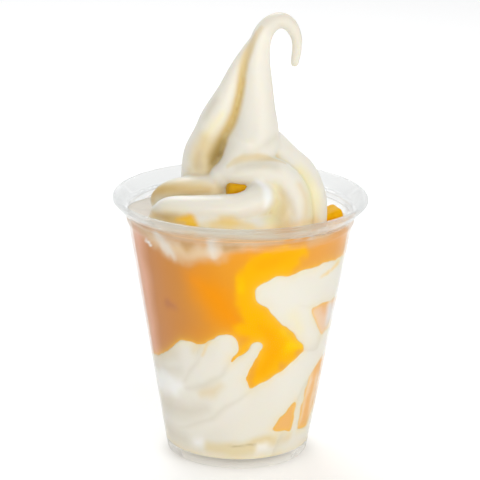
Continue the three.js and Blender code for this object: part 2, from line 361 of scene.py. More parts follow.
# lobes against the wall: degrees from the shown side towards +X, height, radius
wallLobes = {
    "baseRing": [
        (88, 11, 10), (150, 13, 12), (210, 13, 12), (270, 14, 12), (330, 13, 12), (372, 11, 9),
        (392, 9.5, 6.4), (412, 8, 6), (428, 7.5, 5.6)],
    "leftLobe": [(-115, 24, 9), (-80, 30, 9.5), (-55, 36, 8.6), (-33, 46, 6.8)],
    "middleLobe": [(-70, 17, 9), (-42, 30, 9), (-22, 43, 8.4), (-8, 51.5, 5.6)],
    "slimLobe": [
        (-60, 13, 6), (-42, 15, 7.4), (-22, 20, 8), (-6, 33, 8), (-2.4, 40, 6.2), (3.2, 44, 4),
        (11.6, 50.8, 2.4)],
    "broadRibbon": [
        (-78, 9, 7), (-52, 9, 8), (-25, 10, 9), (1, 19.6, 11.8), (20, 27.6, 11), (38, 34.3, 9.3),
        (50, 39.5, 8.2), (65, 44, 7), (85, 46, 7.5), (115, 45, 8), (145, 40, 7)],
    "slantedRibbon": [(16, 72.6, 5.6), (23, 70, 7), (32, 64.7, 7.4), (43, 57, 6), (51, 51, 5.2), (60, 45, 6)],
    "upperRibbon": [
        (22, 74.2, 6.2), (38, 72.6, 9.6), (58, 72.5, 10), (84, 71, 10), (116, 72, 10), (150, 77, 9)],
    "thinRib": [(49.5, 9, 2.6), (49.5, 20, 2.4), (52, 33, 3)],
    "backLobeLow": [(150, 22, 9), (185, 32, 9), (215, 43, 7)],
    "backLobeHigh": [(200, 22, 9), (232, 34, 9), (262, 47, 7)],
}

# level coils of the swirl and its upright folds: x, y, z, radius
coils = {
    "frontPass": [
        (-30.2, -13.5, 95.8, 2.8), (-26, -18, 98.4, 4.7), (-17.5, -22, 99.8, 5.2), (-7, -24, 100.4, 5.6),
        (0, -23.2, 100.6, 5.8), (6.2, -19.8, 102.2, 6.5), (7.4, -12.5, 103.8, 6.2), (4, -6, 104, 5.5)],
    "rightPass": [
        (10, -6, 98, 8), (20, 6, 97.5, 8), (13, 20, 97, 8.5), (-2, 25, 96.5, 8.5), (-13, 22, 96, 8)],
    "leftPass": [
        (-13, 22, 96, 8), (-23, 13, 93.5, 7), (-28.3, 0, 96, 5.4), (-24, -6.5, 101.2, 5.9),
        (-12, -8, 103.3, 6.2), (0, 0, 102.5, 6.5)],
    "lowerFront": [
        (-29.5, -12.5, 92, 4.4), (-23, -19.5, 94, 5.4), (-14, -23, 94.6, 6), (-6, -24.3, 93.6, 6.4),
        (-2, -24, 92.6, 6.5), (8, -23, 92.4, 6.5), (16, -17, 92, 6)],
    "middleFill": [
        (-16, 12, 96, 8), (-19, 4, 96.5, 7), (-17, -6, 96.5, 7), (-11, -13, 96.8, 6.5), (-2, -15, 98, 6.5),
        (0, -10.5, 101.4, 3.4)],
    "innerBend": [(9, -9, 104, 5.5), (14, -13, 103, 5.8), (15, -16.5, 98, 6), (12.5, -19.5, 92.5, 6.5)],
    "backShoulder": [(18, -2, 105, 8), (14, 10, 106, 9), (0, 14, 106, 9.5), (-12, 9, 104.5, 9.5)],
}
folds = {
    "arch": [
        (-7, -9, 108, 4), (-1, -11.5, 110.2, 5), (6, -12, 111.2, 5.6), (13, -12.5, 109.8, 5.8),
        (19, -14.5, 104.5, 5.6), (21.2, -17, 97, 5.2), (21, -18.5, 88, 5.2)],
    "rightDrape": [
        (26.2, -12, 86, 5.2), (26.8, -10.5, 95, 5.2), (25.6, -8.5, 102, 5.7), (21.4, -4.5, 108, 6.6),
        (16, -2.5, 112, 7), (10, 0, 116.5, 7.5)],
    "leftFold": [
        (-13.6, 2, 103.7, 8.9), (-14.2, 0, 112.5, 7.6), (-11.2, -1, 121.5, 6.5), (-8.6, -1.5, 128.7, 6.2),
        (-4.8, -1, 138, 4.5), (-1.4, 0, 147, 3.1), (3.4, 0, 155.5, 2)],
    "rightFold": [
        (-6.6, -9, 108, 5), (-1.6, -8.5, 111.4, 7.4), (3, -5.5, 117, 10.2), (4.6, -3, 123.8, 9.2),
        (5, -1.5, 131.6, 7.4), (5.2, 0, 140.3, 6), (5.3, 0, 147.9, 4.9), (6, 0, 154.5, 4)],
    "backFold": [
        (-2, 9, 105.9, 11), (0, 7, 116.6, 9.4), (2, 5, 129, 6.9), (3.8, 2.5, 142, 4.4), (4.8, 1, 151.5, 2.9)],
    "hook": [
        (6, 0, 154.5, 4), (7.4, 0, 159.5, 3.7), (10, 0, 163, 3.4), (13.5, 0, 164.6, 3.1), (17, 0, 163, 2.8),
        (19.3, 0, 159, 2.4), (19.7, 0, 154.5, 2.05), (19, 0, 149, 1.75)],
}
core = {
    "base": 4, "inset": 7.5, "shoulder": 80, "rows": 8, "neck": 90, "neckRadius": 21,
    "capRise": 6, "capShare": 0.8, "top": 102, "segments": 96,
}


def wallPoint(point):
    degrees, z, radius = point
    reach = outerRadius(z) - softServe["lobeClear"] - softServe["lobeSink"] * radius
    angle = math.radians(degrees)
    return reach * math.sin(angle), -reach * math.cos(angle), z, radius


def ropeTree(material):
    # a tube of an oval section along each chain of points, with a ball at both ends
    tree = bpy.data.node_groups.new("drawnRopes", "GeometryNodeTree")
    inputs = {}
    for name, kind in (("Paths", "Geometry"), ("Step", "Float"), ("Sides", "Int"), ("Tallness", "Float")):
        inputs[name] = tree.interface.new_socket(name, in_out="INPUT", socket_type="NodeSocket" + kind)
    tree.interface.new_socket("Ropes", in_out="OUTPUT", socket_type="NodeSocketGeometry")
    given = addNode(tree, "NodeGroupInput").outputs
    line = addNode(tree, "GeometryNodeMeshToCurve", links={0: given["Paths"]})
    curve = addNode(tree, "GeometryNodeCurveSplineType", {"spline_type": "CATMULL_ROM"}, {0: line.outputs[0]})
    fine = addNode(tree, "GeometryNodeSetSplineResolution", links={0: curve.outputs[0], "Resolution": 24})
    even = addNode(tree, "GeometryNodeResampleCurve", {"mode": "LENGTH"}, {
        "Curve": fine.outputs[0], "Length": given["Step"]})
    level = addNode(tree, "GeometryNodeSetCurveNormal", {"mode": "Z_UP"}, {0: even.outputs[0]})
    girth = addNode(tree, "GeometryNodeInputNamedAttribute", {"data_type": "FLOAT"}, {"Name": "girth"})
    oval = addNode(tree, "ShaderNodeCombineXYZ", links={"X": 1.0, "Y": given["Tallness"], "Z": 1.0})
    ring = addNode(tree, "GeometryNodeCurvePrimitiveCircle", links={
        "Resolution": given["Sides"], "Radius": 1.0})
    section = addNode(tree, "GeometryNodeTransform", links={
        "Geometry": ring.outputs[0], "Scale": oval.outputs[0]})
    tube = addNode(tree, "GeometryNodeCurveToMesh", links={
        "Curve": level.outputs[0], "Profile Curve": section.outputs[0],
        "Scale": girth.outputs[0], "Fill Caps": True})
    ends = addNode(tree, "GeometryNodeCurveEndpointSelection", links={"Start Size": 1, "End Size": 1})
    ball = addNode(tree, "GeometryNodeMeshUVSphere", links={"Segments": 28, "Rings": 18, "Radius": 1.0})
    squat = addNode(tree, "ShaderNodeCombineXYZ", links={"X": 1.0, "Y": 1.0, "Z": given["Tallness"]})
    size = addNode(tree, "ShaderNodeVectorMath", {"operation": "SCALE"}, {
        0: squat.outputs[0], "Scale": girth.outputs[0]})
    balls = addNode(tree, "GeometryNodeInstanceOnPoints", links={
        "Points": level.outputs[0], "Selection": ends.outputs[0],
        "Instance": ball.outputs[0], "Scale": size.outputs[0]})
    joined = addNode(tree, "GeometryNodeJoinGeometry", links={0: tube.outputs[0]})
    tree.links.new(balls.outputs[0], joined.inputs[0])
    real = addNode(tree, "GeometryNodeRealizeInstances", links={0: joined.outputs[0]})
    look = addNode(tree, "GeometryNodeSetMaterial", links={"Geometry": real.outputs[0], "Material": material})
    addNode(tree, "NodeGroupOutput", links={0: look.outputs[0]})
    return tree, {name: socket.identifier for name, socket in inputs.items()}


def drawRopes(name, paths, tallness, tree, sockets):
    points, girths, edges = [], [], []
    for path in paths:
        edges += [(len(points) + i, len(points) + i + 1) for i in range(len(path) - 1)]
        points += [(x * mm, y * mm, z * mm) for x, y, z, radius in path]
        girths += [radius * mm for x, y, z, radius in path]
    thing = addObject(name, meshFrom(name, points, [], edges))
    thing.data.attributes.new("girth", "FLOAT", "POINT").data.foreach_set("value", girths)
    modifier = thing.modifiers.new("ropes", "NODES")
    modifier.node_group = tree
    modifier[sockets["Step"]] = softServe["step"] * mm
    modifier[sockets["Sides"]] = softServe["sides"]
    modifier[sockets["Tallness"]] = tallness
    return bakeModifiers(thing)


def coreProfile():
    bottom, base = cup["floorHeight"] - softServe["intoWall"], cup["floorHeight"] + core["base"]
    foot = [(innerRadius(z) + softServe["intoWall"], z) for z in (bottom, base)]
    heights = np.linspace(base + core["base"], core["shoulder"], core["rows"])
    body = [(outerRadius(z) - softServe["lobeClear"] - core["inset"], z) for z in heights]
    cap = [(core["neckRadius"], core["neck"])]
    cap += [(core["capShare"] * core["neckRadius"], core["neck"] + core["capRise"]), (0, core["top"])]
    return [(0, bottom), *foot, *body, *cap]


def edgeEnds(mesh):
    flat = np.empty(len(mesh.edges) * 2, np.int64)
    mesh.edges.foreach_get("vertices", flat)
    return flat.reshape(-1, 2)


def dropVoids(mesh):
    # closed hollows inside the skin go: only the largest connected surface stays
    ends, label, before = edgeEnds(mesh), np.arange(len(mesh.vertices)), None
    while before is None or (label != before).any():
        before, lowest = label, label[ends].min(1)
        label = label.copy()
        for side in (0, 1):
            np.minimum.at(label, ends[:, side], lowest)
        label = label[label]
    stray = np.flatnonzero(label != np.bincount(label).argmax())
    shell = bmesh.new()
    shell.from_mesh(mesh)
    shell.verts.ensure_lookup_table()
    bmesh.ops.delete(shell, geom=[shell.verts[i] for i in stray], context="VERTS")
    shell.to_mesh(mesh)
    shell.free()


def meltTogether(name, things):
    points, faces = [], []
    for thing in things:
        start = len(points)
        points += [tuple(p) for p in pointsOf(thing.data)]
        faces += [tuple(start + i for i in face.vertices) for face in thing.data.polygons]
        bpy.data.objects.remove(thing)
    whole = addObject(name, meshFrom(name, points, faces))
    skin = whole.modifiers.new("skin", "REMESH")
    skin.mode, skin.voxel_size = "VOXEL", softServe["voxel"] * mm
    soft = whole.modifiers.new("soft", "SMOOTH")
    soft.factor, soft.iterations = softServe["smoothShare"], softServe["smoothing"]
    bakeModifiers(whole)
    dropVoids(whole.data)
    return whole


def insideWall(points, extra):
    # keeps points within the cup's inside plus that many millimetres
    reach = np.hypot(points[:, 0], points[:, 1])
    most = (innerRadius(points[:, 2] / mm) + extra) * mm
    share = np.minimum(1, most / np.maximum(reach, 1e-9))
    held = points.copy()
    held[:, :2] *= share[:, None]
    held[:, 2] = np.maximum(held[:, 2], (cup["floorHeight"] - extra) * mm)
    return held, share < 1


def neighbourMean(values, ends, counts):
    summed = np.stack([
        np.bincount(ends[:, 0], values[ends[:, 1], k], len(values))
        + np.bincount(ends[:, 1], values[ends[:, 0], k], len(values)) for k in range(values.shape[1])], 1)
    return summed / counts[:, None]


def hollowness(mesh, rounds):
    # how deep each point lies below the surface smoothed over that many rounds, metres
    ends = edgeEnds(mesh)
    counts = np.maximum(np.bincount(ends.ravel(), minlength=len(mesh.vertices)), 1)
    start = smoothed = pointsOf(mesh)
    stay, move = 0.3, 0.7
    for _ in range(rounds):
        smoothed = stay * smoothed + move * neighbourMean(smoothed, ends, counts)
    return np.einsum("ij,ij->i", smoothed - start, normalsOf(mesh))


sauce = {
    "level": 90.5, "lean": (0.04, 0.08), "edgeHeight": 90, "intoWall": 0.18,
    "meniscus": 0.7, "meniscusReach": 1.1, "wave": 0.35, "waveSize": 9,
    "segments": 360, "rows": 96, "topRings": 30,
    "markWarp": 1.4, "roundWander": 4, "roundWanderSize": 12, "thin": 0.6, "thinReach": 0.9,
    "topInset": 0.3, "topFrom": (-0.6, 0.2), "topSoft": 1.2, "filmWander": 2.2, "filmWanderSize": 6,
}
wallScale = 36  # millimetres of wall for each radian, at half height
wander = {"size": 6, "fineSize": 2.4, "fineShare": 0.6}  # of the marks on the wall


def sauceLevel(x, y):
    # height of the sauce in millimetres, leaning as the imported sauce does
    return sauce["level"] - sauce["lean"][0] * x - sauce["lean"][1] * y


def lineGap(points, line):
    # distance in millimetres from a line of (x, y, z, half width) points to its edge, negative inside
    best = np.full(len(points), 1e3)
    for first, last in zip(line, line[1:]):
        start, along = np.array(first[:3]), np.subtract(last[:3], first[:3])
        offset = points - start
        t = np.clip(offset @ along / max(along @ along, 1e-9), 0, 1)
        gap = np.linalg.norm(offset - t[:, None] * along, axis=1)
        best = np.minimum(best, gap - first[3] - (last[3] - first[3]) * t)
    return best


def brushed(points, lines, soft):
    # how far points lie inside any of those lines, from 0 to 1 over twice that many millimetres
    return np.max([smoothStep(-soft, soft, -lineGap(points / mm, line)) for line in lines], 0)


def unrolled(points, warp):
    # points on the wall as millimetres across and up, wandering by that much so that edges are uneven
    across = np.arctan2(points[:, 0], -points[:, 1]) * wallScale
    drift = [
        noiseAt(points, wander["size"] * mm, seed)
        + wander["fineShare"] * noiseAt(points, wander["fineSize"] * mm, seed + 8) for seed in (1, 2)]
    return np.stack([across + warp * drift[0], points[:, 2] / mm + warp * drift[1], 0 * across], 1)


def strokeMask(flat, strokes, soft):
    # marks on the wall: strokes of degrees, height and half width in millimetres
    best = np.zeros(len(flat))
    for stroke in strokes:
        line = [(math.radians(d) * wallScale, z, 0, width) for d, z, width in stroke]
        best = np.maximum(best, smoothStep(-soft, soft, -lineGap(flat, line)))
    return best


# lines drawn on the swirl where folds meet, pressed in and painted with shade: depth in half widths, then x,
# y, z, half width
creases = {
    "peak": (0.2, [
        (6.5, -2.7, 162.2, 0.7), (4, -2.9, 158.1, 1), (2.5, -2.6, 154, 1.3), (0.9, -2.2, 149.4, 1.5),
        (-0.1, -2.2, 144.6, 1.6), (-0.6, -2.7, 139.4, 1.9), (-1.1, -3.3, 135.1, 2.1),
        (-1.9, -3.8, 131.1, 2.3), (-3.7, -4.3, 126.6, 2.7), (-6, -4.2, 122.8, 3.1),
        (-8.7, -4.2, 118.6, 3.2), (-10.5, -4.6, 114.9, 2.8), (-11, -5.1, 111.2, 2)]),
    "arch": (0.12, [
        (-4.7, -14, 113.3, 0.6), (-1.8, -14.5, 115.4, 1), (1.4, -14.9, 116.7, 1.2), (5.8, -14.7, 117.1, 1.2),
        (10.5, -13.9, 116.2, 1), (16, -13.5, 114.7, 0.5)]),
}
creaseForm = {
    "spread": 1.1, "edge": (2, 0.5),  # in half widths
    "fullWidth": 1.8, "least": 0.4,
    # the peak's crease turns to a deeper, brown painted shade low down
    "brown": 0.75, "brownFrom": (130, 114),  # heights between which the peak's crease turns brown
}
# where the swirl is painted with warm shade, yellowed as by light off the sauce: low on the left fold, along
# the left pass, in the valleys by the arch's leg; as lines of x, y, z, half width, which the next lists have
# too
warmShades = [
    [(-13.4, -6.7, 121.1, 2), (-14.4, -6.8, 117.3, 3), (-15.2, -7, 113.6, 3.4), (-15.2, -7, 110.9, 3)],
    [(-18.7, -5.8, 109.4, 0.6), (-15, -6.9, 109.6, 1), (-11.3, -6.3, 109.4, 0.8)],
    [(-32.6, -5.5, 98, 2), (-31.1, -6.8, 101.5, 2.8), (-25.8, -11.4, 103.8, 2.8), (-20.3, -13.3, 104.8, 2.8),
     (-14.8, -14, 104.9, 2.6), (-9.4, -13.3, 104, 1.8)],
    [(14.5, -18.6, 107, -0.6), (15.4, -19.1, 104, 0.6), (15.8, -20.8, 101, 2), (15.8, -22.7, 98.4, 2.8),
     (15.5, -24.2, 95.8, 3), (14.4, -26.4, 93.8, 2.6)],
    [(21.5, -18.3, 107.8, 0.2), (23.7, -19.9, 102.6, 0.4), (23.8, -21.6, 97.4, 0.3)],
]
# the left pass is painted with golden shade at its end and along its foot, as are the front pass under its
# left end and the left fold low
goldenShades = [
    [(-32.3, -4.8, 99.5, 1.6), (-30.8, -6.2, 101.5, 2), (-28.5, -8.7, 102.4, 1.8), (-24, -11.6, 103.2, 1.3),
     (-18, -13.6, 103.4, 0.8), (-12, -14, 103.6, 0.4)],
    [(-31.8, -16.8, 95.4, 0.4), (-29.1, -20.8, 95.9, 1.2), (-26.2, -22.9, 95.9, 1.8), (-23.2, -24.6, 95.8, 2),
     (-20.6, -26.1, 95.6, 1.4)],
    [(-15.2, -6.9, 116, -0.4), (-15.6, -7, 111.5, 0.6)],
]
# sauce on the front pass, a glow in its middle and one thick drip, and a glow under the right drape
glows = [
    [(-9.4, -29.4, 95.6, 1), (-6, -29.2, 96.4, 2.2), (-3.4, -29.2, 96.4, 2.2), (-0.1, -28.7, 95.6, 1.2),
     (4, -29, 94.6, 0.4)],
    [(22.7, -22, 95, 0.4), (25, -20.5, 94.6, 0.8), (27.3, -16.5, 94.2, 0.6)],
]
drips = [
    [(-22.5, -25, 96, 0.6), (-20, -26.3, 96.6, 1.4), (-18.2, -27.2, 96.6, 2.2), (-17.6, -27.9, 94.8, 2.6)],
]
# where light catches the swirl: the shoulder, and the top of the front pass
brights = [
    [(5.5, -17.3, 109, 0), (7.7, -19, 108, 1), (9.5, -21.7, 106.7, 1.6), (9.9, -24.2, 104.4, 1.6),
     (9.2, -25.6, 101.8, 0.8)],
    [(-30, -17.8, 100, 0), (-28.4, -17.8, 101.6, 0.9), (-25.6, -19.4, 102.7, 0.7), (-18.2, -22.9, 104, 0.2),
     (-7.4, -25.8, 104.8, 0.2)],
]
# where it is painted yellow as butter, as light thrown back from the sauce: the right drape, the arch's leg,
# the left fold, the front pass's left end
butters = [
    [(21.6, -10.8, 110.6, 1.5), (25, -14, 107.2, 2.4), (26.4, -16, 102.8, 3), (26.4, -17.5, 97.5, 3)],
    [(12.8, -18.4, 107, 0.4), (13, -20.5, 104.5, 1), (13, -21.1, 101, 1.2), (12.6, -22.8, 98, 1.6),
     (11, -26.4, 96.3, 2)],
    [(-7.2, -7.1, 130.7, 0), (-10.8, -7.5, 125.8, 0.3), (-12.9, -6.9, 122.6, 0.3)],
    [(-30, -15.5, 97, 0.5), (-26, -21, 98.5, 1), (-20, -25, 99, 0.4)],
]
# where it lies in its own shade: the hook, a dent in the left fold, the foot of that fold, the top of the arch
dents = [
    [(10, 0, 163, 2.7), (13.5, 0, 164.6, 2.4), (17, 0, 163, 2.1), (19.3, 0, 159, 1.7), (19.7, 0, 154.5, 1.4),
     (19, 0, 149, 1.1)],
    [(-9.5, -5, 135.4, 0.5), (-11.2, -5.3, 132.8, 0.9), (-12.7, -5.9, 129.9, 0.5)],
    [(-14.8, -6.8, 116, 0.4), (-15.4, -7, 111, 1.4)],
    [(-1.1, -15.6, 113.4, 1), (3.3, -16.3, 114.4, 1.6), (7.6, -16.6, 114.6, 1.6), (12.3, -16.6, 114, 1)],
    [(1.8, -15.1, 117.9, 0), (6.1, -14.7, 120.1, 0), (9.7, -12.3, 121.8, 0.4), (12.6, -8.1, 123, 0)],
]

# marks on the wall: painted shade in hollows and along creases, painted light, drips, tinges of sauce with
# painted tan shade, painted yellow light from the sauce, the beige base and its brown line
creamShades = [
    [(-78, 42, 3), (-60, 42.5, 4.5), (-46, 44.5, 2.5)], [(-74, 34.5, 0.5), (-58, 35.5, 1), (-42, 38.5, 0.3)],
    [(-74, 20, 2), (-56, 20.5, 3), (-36, 21.5, 2), (-22, 24.5, 1)], [(-75, 9.5, 2.5), (-45, 8.5, 2)],
]
wallCreases = [  # between the lobes of the shown side, drawn as they lie there
    [(-18, 52, 0.2), (-24.7, 45, 0.5), (-33.2, 38.2, 0.5), (-40, 33, 0)],
    [(-4.4, 46.3, 0.1), (-10.4, 39, 0.7), (-22.5, 33.6, 1), (-38, 31, 0.2)],
    [(36, 65.5, -0.8), (44, 64, -0.2), (50, 63.6, -0.4)],
    [(10.3, 33.8, 0), (-5.2, 26.7, 0.5), (-18.6, 20.6, 0.7), (-33.3, 16.6, 0.4), (-53, 12, 0)],
]
shownLobes = [  # the lobes that have those drawn creases
    [(-75, 30, 15), (-45, 26, 19), (-22, 30, 16), (-12, 32, 14)], [(20, 72, 8), (36, 64, 9), (50, 56, 8)],
]
creamBrights = [
    [(-96, 26, 0.2), (-80, 28, 3.4), (-62, 30, 4.6), (-50, 30, 4), (-42, 31.5, 1.6)],
    [(-33, 9.4, 1.2), (-28, 10, 1.2)], [(17, 8.8, 1), (22, 9, 1)],
]
wallDrips = [
    [(-17.5, 52.6, 0.2), (-23, 46.6, 0)], [(50, 74.6, 0), (57, 76, 0.8)], [(60, 76.4, 0.6), (68, 77.6, 1)],
]
creamShadeAndTinges = [
    [(-25, 30.4, 1.2), (-17, 31.8, 2), (-12, 34.5, 0.8)], [(-29, 47, 0.2), (-26, 50, 0.3)],
    [(31, 10, 1), (43, 10.5, 1.4)], [(12, 11.4, 0.4), (25, 12, 1)],
]
creamButter = [[(33, 62, 1.5), (39, 55.5, 2)]]
creamBase = [[(-23, 8, 2.2), (-5, 8, 3), (12, 8.5, 2.6)], [(8, 10.8, 1), (18, 11.4, 1.8), (29, 11.2, 1.6)]]
baseLine = [[(-6, 9.4, 0.1), (14, 9.9, 0.2)]]

# marks on the swirl and on the wall: lines, softness in millimetres, strength
swirlMarks = {
    "warmShadeAndTinge": (warmShades, 3, 0.8), "goldenShade": (goldenShades, 2.5, 0.9), "glow": (glows, 2, 0.85), "drip": (drips, 1.3, 0.95),
    "bright": (brights, 1.6, 0.9), "butter": (butters, 3.5, 0.8), "shade": (dents, 3, 0.75),
}
wallMarks = {
    "shade": (creamShades, 5, 0.7), "bright": (creamBrights, 2.8, 0.6), "stain": (wallDrips, 1.2, 0.85),
    "warmShadeAndTinge": (creamShadeAndTinges, 3, 0.55), "butter": (creamButter, 4, 0.45), "hollowShadeAndBeige": (creamBase, 2, 0.95),
    "brown": (baseLine, 0.5, 0.8),
}
# marks that follow from the shape: painted shade in creases, in hollows and where lobes overlap, and sauce
# stain and fringe
foundMarks = {
    "creaseShade": {"strength": 0.7, "rounds": 12, "depth": (0.15, 1.1), "above": (1, 7)},
    "hollowShadeAndBeige": {"rounds": 60, "depth": (0.1, 2.4)},
    "stain": {"strength": 0.4, "above": (0.5, 4.5), "ragged": 1.6, "raggedSize": 5},
    "overlap": {
        "strength": 0.5, "under": 4, "over": 1.2, "overShare": 0.3, "shownSoft": 4, "creaseSoft": 1.8},
    "fringe": {"strength": 0.75, "reach": 1.5, "even": 0.6, "mottle": 0.4, "mottleSize": 3},
}
creamLayers = (  # colour of each mark, from the lowest
    ("hollowShadeAndBeige", "E6D7AE"), ("butter", "F5EAAE"), ("warmShadeAndTinge", "E0C88C"), ("goldenShade", "CBA44E"), ("creaseShade", "DCC282"),
    ("brown", "A68E54"), ("shade", "D4CDBA"), ("fringe", "F6DC9C"), ("stain", "F4D070"),
    ("bright", "FFFFFE"), ("glow", "ECCB74"), ("drip", "F5C010"))

vanilla = vanillaSoftServe()
ropes, sockets = ropeTree(vanilla)
lobes = [[wallPoint(p) for p in path] for path in wallLobes.values()]
parts = [
    drawRopes("lobes", lobes, 1, ropes, sockets),
    drawRopes("coils", coils.values(), softServe["coilTall"], ropes, sockets),
    drawRopes("folds", folds.values(), 1, ropes, sockets),
    addObject("core", turned("core", coreProfile(), core["segments"])),
]
creamPiece = meltTogether("soft_serve_swirl", parts)
skin = creamPiece.data
points, normals = pointsOf(skin), normalsOf(skin)
bumps = noiseAt(points, softServe["unevenSize"] * mm, 3) * softServe["uneven"]
pastWall = np.hypot(points[:, 0], points[:, 1]) / mm - innerRadius(points[:, 2] / mm)
nearWall = smoothStep(*softServe["raggedFrom"], pastWall)
bumps += noiseAt(points, softServe["raggedSize"] * mm, 6) * softServe["ragged"] * nearWall
points, pressed = insideWall(points + normals * bumps[:, None] * mm, softServe["intoWall"])
drawnCreaseShade, brown = np.zeros(len(points)), np.zeros(len(points))
for name, (depth, line) in creases.items():  # pressed in from the front
    gap = lineGap(points / mm, [(x, y, z, 0) for x, y, z, half in line])
    half = gap - lineGap(points / mm, line)
    points[:, 1] += depth * half * np.exp(-(gap / (creaseForm["spread"] * half)) ** 2) * mm
    # each crease is also painted with shade across its width, and low in the peak with a deeper brown shade
    start, end = creaseForm["edge"]
    edge = smoothStep(-start * half, -end * half, -gap)
    drawnCreaseShade = np.maximum(drawnCreaseShade, edge * np.clip(half / creaseForm["fullWidth"], creaseForm["least"], 1))
    if name == "peak":
        start, end = creaseForm["brownFrom"]
        brown = edge ** 2 * smoothStep(-start, -end, -points[:, 2] / mm)
setPoints(skin, points)
print("soft serve melted together,", len(skin.polygons), "faces")

masks = {}


def addMark(name, values):
    masks[name] = np.maximum(masks.get(name, 0), values)


def hollows(form):
    low, high = form["depth"]
    return smoothStep(low * mm, high * mm, hollowness(skin, form["rounds"]))


above = points[:, 2] / mm - sauceLevel(points[:, 0] / mm, points[:, 1] / mm)
free = smoothStep(0, 1, above)  # over the sauce
onWall = pressed * (1 - free)
wall = unrolled(points, softServe["markWarp"])
for name, (lines, soft, strength) in swirlMarks.items():
    where = free if name in ("glow", "drip") else 1
    addMark(name, strength * where * brushed(points, lines, soft))
for name, (strokes, soft, strength) in wallMarks.items():
    addMark(name, strength * onWall * strokeMask(wall, strokes, soft))
form = foundMarks["creaseShade"]
# painted shade along the drawn creases and in small hollows above the sauce
addMark("creaseShade", drawnCreaseShade)
addMark("creaseShade", form["strength"] * free * smoothStep(*form["above"], above) * hollows(form))
# deeper brown painted shade low in the peak's crease
addMark("brown", creaseForm["brown"] * brown)
# painted shade, warm and darker, in the hollows of the swirl above the sauce
addMark("hollowShadeAndBeige", free * hollows(foundMarks["hollowShadeAndBeige"]))
form = foundMarks["stain"]
ragged = form["ragged"] * noiseAt(points, form["raggedSize"] * mm, 4)
addMark("stain", form["strength"] * free * (1 - smoothStep(*form["above"], above + ragged)))

# a lobe is shaded where it comes out from under the one before it, the ring at the base left out
form = foundMarks["overlap"]
lobeGaps = np.array([lineGap(points / mm, lobe) for lobe in lobes[1:]])
order = np.argsort(lobeGaps, 0)
nearest = np.take_along_axis(lobeGaps, order[:2], 0)
lead = nearest[1] - nearest[0]
overOther = form["overShare"] * np.exp(-lead / form["over"])
overlap = np.where(order[0] > order[1], np.exp(-lead / form["under"]), overOther)
overlap *= 1 - strokeMask(wall, shownLobes, form["shownSoft"])
overlap = np.maximum(overlap, strokeMask(wall, wallCreases, form["creaseSoft"]))
addMark("shade", form["strength"] * onWall * overlap)

# and it is tinted along its edge with the sauce
form = foundMarks["fringe"]
fromSauce = np.zeros(len(points))
fromSauce[pressed] = distanceTo(points[pressed], points[~pressed])
mottled = form["even"] + form["mottle"] * noiseAt(points, form["mottleSize"] * mm, 7)
addMark("fringe", form["strength"] * (1 - free) * mottled * np.exp(-fromSauce / (form["reach"] * mm)))
for name, values in masks.items():
    setMask(skin, name, values)
skin.materials.clear()
skin.materials.append(vanilla)


# sauce: fills what the soft serve leaves of the cup, coloured in drawn zones

